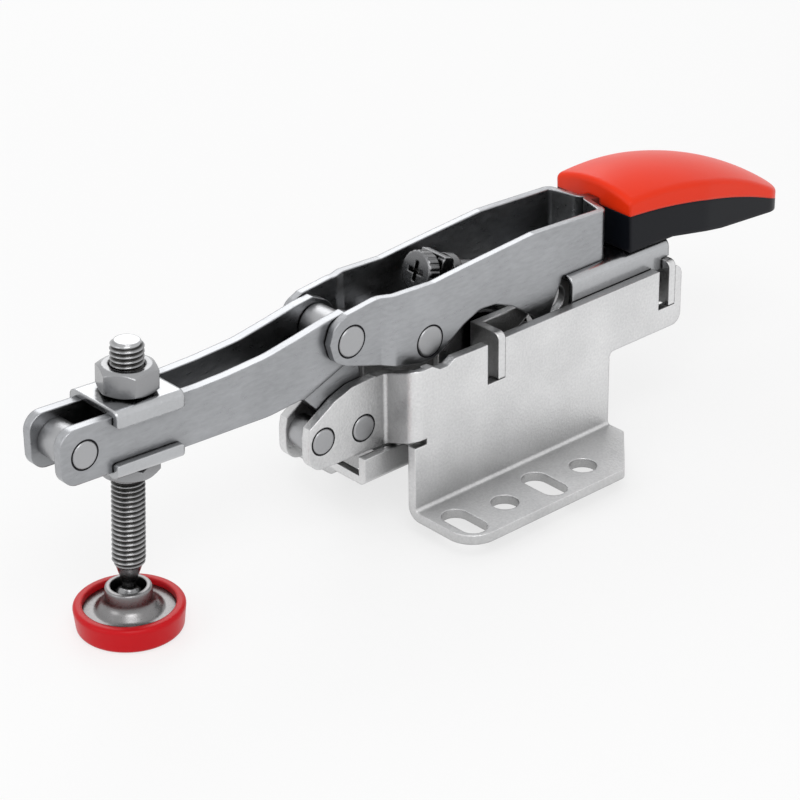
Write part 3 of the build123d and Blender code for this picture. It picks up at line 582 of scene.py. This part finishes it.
def chamfered_nut(name, node):
    """Rings from the bore round the outside and back, as wide and as high as the node.

    The hexagon's radius at an angle is half the width across flats over the cosine of the angle from the
    middle of the flat. The chamfer drops by its slope times how far that radius is beyond the round face.
    """
    away = corners_of(nodes[node].data) - ball_centre
    height = away @ lean
    low, high = height.min(), height.max()
    u, v = away @ side, away @ across
    reach = np.hypot(u, v)
    corner = math.atan2(v[reach.argmax()], u[reach.argmax()])
    half_flats, bore = reach.max() * math.cos(FLAT_ANGLE / 2), reach.min()
    angle = corner + np.linspace(0, 2 * math.pi, NUT_TURN, endpoint=False)
    off_middle = (angle - corner) % FLAT_ANGLE - FLAT_ANGLE / 2
    hexagon = half_flats / np.cos(off_middle)
    face = FACE_SHARE * half_flats
    drop = (hexagon - face) * CHAMFER_SLOPE
    mouth = bore + BORE_CHAMFER
    radii = (bore, mouth, face, hexagon, hexagon, face, mouth, bore)
    levels = (low + BORE_CHAMFER, low, low, low + drop, high - drop, high, high, high - BORE_CHAMFER)
    radius = np.stack([np.broadcast_to(ring, NUT_TURN) for ring in radii])
    level = np.stack([np.broadcast_to(ring, NUT_TURN) for ring in levels])
    made = bpy.data.meshes.new(name)
    quads = ring_quads(len(radii), len(radii), NUT_TURN)
    made.from_pydata(about_axis(level, radius, angle).tolist(), [], quads)
    made.materials.append(bright_steel)
    solid = bmesh.new()
    solid.from_mesh(made)
    bmesh.ops.recalc_face_normals(solid, faces=solid.faces)
    solid.to_mesh(made)
    solid.free()
    print(name, "height mm", round((high - low) * 1000, 2), "bore radius mm", round(bore * 1000, 3))
    return made


for name, node, body in NUTS:
    nut = add_object(name, chamfered_nut(name, node))
    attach(nut, body)
    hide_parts(node)
    say_closed(nut.data)

# %% [markdown]
# Two folded washers sit on the arm's edges, and their flaps hook over the sheet. The solids' flaps are
# longer than the real ones. Drawing new washers could lose the fit of hole and fold, so each starts as a
# copy of its solid's mesh. Its loose triangles are joined first, and then the flaps are drawn in.

# %% Saddle washers
SADDLE_FOLD = 0.0024
SADDLES = (
    ("upper_saddle_hooked", "upper_saddle_washer", 1, 0.0041),
    ("lower_saddle_hooked", "lower_saddle_washer", -1, 0.0038),
)


def joined_copy(name, node):
    """The node's mesh with the corners that share a place made one corner, shaded as it was."""
    loose = nodes[node].data
    corner_of = np.zeros(len(loose.loops), int)
    loose.loops.foreach_get("vertex_index", corner_of)
    normals = np.zeros(len(loose.loops) * 3)
    loose.corner_normals.foreach_get("vector", normals)
    places, which = np.unique(corners_of(loose), axis=0, return_inverse=True)
    made = bpy.data.meshes.new(name)
    made.from_pydata(places.tolist(), [], which.ravel()[corner_of].reshape(-1, 3).tolist())
    made.shade_smooth()
    made.normals_split_custom_set(normals.reshape(-1, 3).tolist())
    return made


def hooked_saddle(name, node, up, flap):
    """Saddle washer whose flaps reach the given depth from its outer face. up is 1 if the face looks up.

    Past the fold, a corner's new depth is the fold's depth plus a share of what lies beyond it. The share is
    the one that brings the deepest corner to the flap's depth.
    """
    made = joined_copy(name, node)
    points = corners_of(made)
    level = up * ((points - ball_centre) @ lean)
    depth = level.max() - level
    share = (flap - SADDLE_FOLD) / (depth.max() - SADDLE_FOLD)
    new_depth = np.where(depth > SADDLE_FOLD, SADDLE_FOLD + (depth - SADDLE_FOLD) * share, depth)
    made.vertices.foreach_set("co", (points + (up * (depth - new_depth))[:, None] * lean).ravel())
    made.update()
    made.materials.append(zinc_folded)
    before, after = depth.max() * 1000, new_depth.max() * 1000
    print(name, "flap depth mm", round(before, 2), "to", round(after, 2))
    return made


for name, node, up, flap in SADDLES:
    saddle = add_object(name, hooked_saddle(name, node, up, flap))
    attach(saddle, "carriage")
    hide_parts(node)
    say_closed(saddle.data)

# %% [markdown]
# The clamp stands on a pale floor in a white studio. More light would whiten the studio but would wash out
# the clamp too. Instead a Light Path node tells the rays that reach the eye, straight or by a mirror or glass,
# from the light that falls on the metal. Only the first see the floor glow, and it still takes the clamp's
# shadow.

# %% Floor
FLOOR_SIZE = 4.0
FLOOR_GAP = 0.0002
FLOOR_COLOUR = (0.93, 0.93, 0.93, 1)
FLOOR_ROUGHNESS = 0.9
FLOOR_GLOW = 0.72


def reaches_eye(tree):
    """1 for a ray from the camera, a mirror or glass, 0 for light that falls on a surface."""
    rays = Wire.node(tree, "ShaderNodeLightPath")
    straight, mirrored = rays.out("Is Camera Ray"), rays.out("Is Glossy Ray")
    return straight.most(mirrored).most(rays.out("Is Transmission Ray"))


floor_paint, floor_tree, paint = new_finish("floor_paint")
paint.inputs["Base Color"].default_value = FLOOR_COLOUR
paint.inputs["Roughness"].default_value = FLOOR_ROUGHNESS
painted = Wire(floor_tree, paint.outputs[0])
glow = Wire.node(floor_tree, "ShaderNodeEmission")
glowing = reaches_eye(floor_tree) * FLOOR_GLOW
blend = Wire.node(floor_tree, "ShaderNodeMixShader", Fac=glowing, Shader=painted, Shader_001=glow)
floor_out = next(n for n in floor_tree.nodes if n.type == "OUTPUT_MATERIAL")
feed(floor_tree, floor_out.inputs["Surface"], blend)

floor_height = cad_box[0][2] - FLOOR_GAP
half = FLOOR_SIZE / 2
floor_mesh = bpy.data.meshes.new("floor")
outline = ((-half, -half), (half, -half), (half, half), (-half, half))
floor_mesh.from_pydata([(x, y, floor_height) for x, y in outline], [], [(0, 1, 2, 3)])
floor_mesh.materials.append(floor_paint)
floor = add_object("floor", floor_mesh)
print("floor at", round(floor_height, 5))

# %% [markdown]
# Above the floor is an even white sky, as in a light tent. An environment image would bring colours of its
# own. The eye sees the sky at full strength, and the clamp is lit by a share of it, which leaves the lamps
# room to shape the metal.

# %% Sky
SKY_ON_SURFACES = 0.62

world = bpy.data.worlds.new("studio")
bpy.context.scene.world = world
world.use_nodes = True
soft = next(n for n in world.node_tree.nodes if n.type == "BACKGROUND")
soft.inputs["Color"].default_value = (1, 1, 1, 1)
sky_strength = reaches_eye(world.node_tree) * (1 - SKY_ON_SURFACES) + SKY_ON_SURFACES
feed(world.node_tree, soft.inputs["Strength"], sky_strength)
print("sky on surfaces", SKY_ON_SURFACES)

# %% [markdown]
# Metal needs something with an edge to reflect. A sun lamp would give hard shadows, so three soft square
# lamps stand round the clamp: the key high in front, a weak fill at the foot's side and one behind, for the
# far edges. Each looks at the middle of the clamp.


# %% Lights
def softbox(name, place, size, watts):
    """A square area lamp that looks at the middle of the clamp."""
    lamp = add_object(name, bpy.data.lights.new(name, "AREA"))
    lamp.data.size, lamp.data.energy = size, watts
    lamp.location = place
    lamp.rotation_euler = (VIEW_TARGET - Vector(place)).to_track_quat("-Z", "Y").to_euler()
    print("lamp", name, "watts", watts)


softbox("key", place=(-0.35, -0.45, 0.75), size=0.45, watts=2.4)
softbox("fill", place=(-0.75, 0.15, 0.40), size=0.40, watts=0.7)
softbox("rear", place=(0.35, 0.65, 0.55), size=0.50, watts=1.4)

bpy.context.scene.view_settings.view_transform = "Standard"
